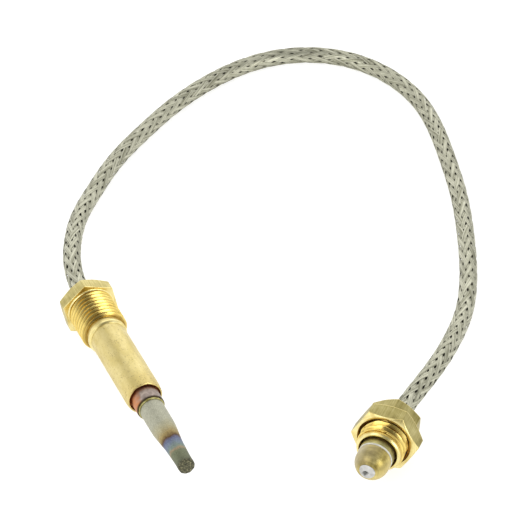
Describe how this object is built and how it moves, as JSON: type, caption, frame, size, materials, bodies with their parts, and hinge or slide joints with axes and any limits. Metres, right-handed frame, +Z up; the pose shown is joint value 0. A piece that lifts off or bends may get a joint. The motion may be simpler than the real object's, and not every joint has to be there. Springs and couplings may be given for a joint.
{
  "type": "flame thermocouple",
  "caption": "Gas flame thermocouple: a threaded brass probe with a tapered hot tube, a braided metal lead and a hollow terminal nut over a domed contact.",
  "frame": {"origin": "on the probe's axis, in the shoulder face where the mounting thread meets its hex", "axes": "+X along the probe to its hot tip, +Z up from the surface the part lies on, +Y to the side the lead swings round to"},
  "size_m": [0.1434, 0.0993, 0.0113],
  "materials": {
    "turned_brass": "bright turned brass",
    "sleeve_brass": "pale smooth brass with fine pits",
    "braze": "orange-brown braze",
    "copper": "heat-greyed copper",
    "ring_brass": "dull yellow brass",
    "probe_steel": "matt grey steel with heat tint",
    "weld": "rough dark weld",
    "wire": "drawn alloy wire",
    "ceramic_tube": "matt ceramic",
    "crimp_steel": "plain steel",
    "braid": "tinned wire braid",
    "insulation": "glass fibre sleeving",
    "core_copper": "drawn copper",
    "nut_brass": "brass with drawn flats",
    "ferrule_brass": "dull greenish brass",
    "washer": "matt white",
    "contact_brass": "satin brass",
    "solder": "smooth solder"
  },
  "bodies": {
    "probe_and_lead": {"mounting_bushing": "turned_brass", "probe_sleeve": "sleeve_brass", "braze_fillet": "braze", "copper_ferrule": "copper", "inner_ring": "ring_brass", "hot_tube": "probe_steel", "weld_tip": "weld", "thermo_wire": "wire", "wire_insulator": "ceramic_tube", "core_splice": "ring_brass", "splice_insulator": "ceramic_tube", "braid_crimp": "crimp_steel", "braid_jacket": "braid", "core_insulation": "insulation", "lead_core": "core_copper", "end_ferrule": "ferrule_brass", "insulating_washer": "washer", "contact_cap": "contact_brass", "solder_spot": "solder"},
    "lock_nut": {"lock_nut": "nut_brass"},
    "terminal_nut": {"terminal_nut": "turned_brass"}
  },
  "joints": [
    {"name": "nuts_slide", "type": "slide", "parent": "probe_and_lead", "child": "lock_nut", "axis": [-0.7193, 0.6947, 0], "range_m": [0, 0.005]},
    {"name": "terminal_nut_spin", "type": "hinge", "parent": "lock_nut", "child": "terminal_nut", "pos_m": [0.0558, 0.0349, -0.00015], "axis": [0.7193, -0.6947, 0], "continuous": true}
  ]
}
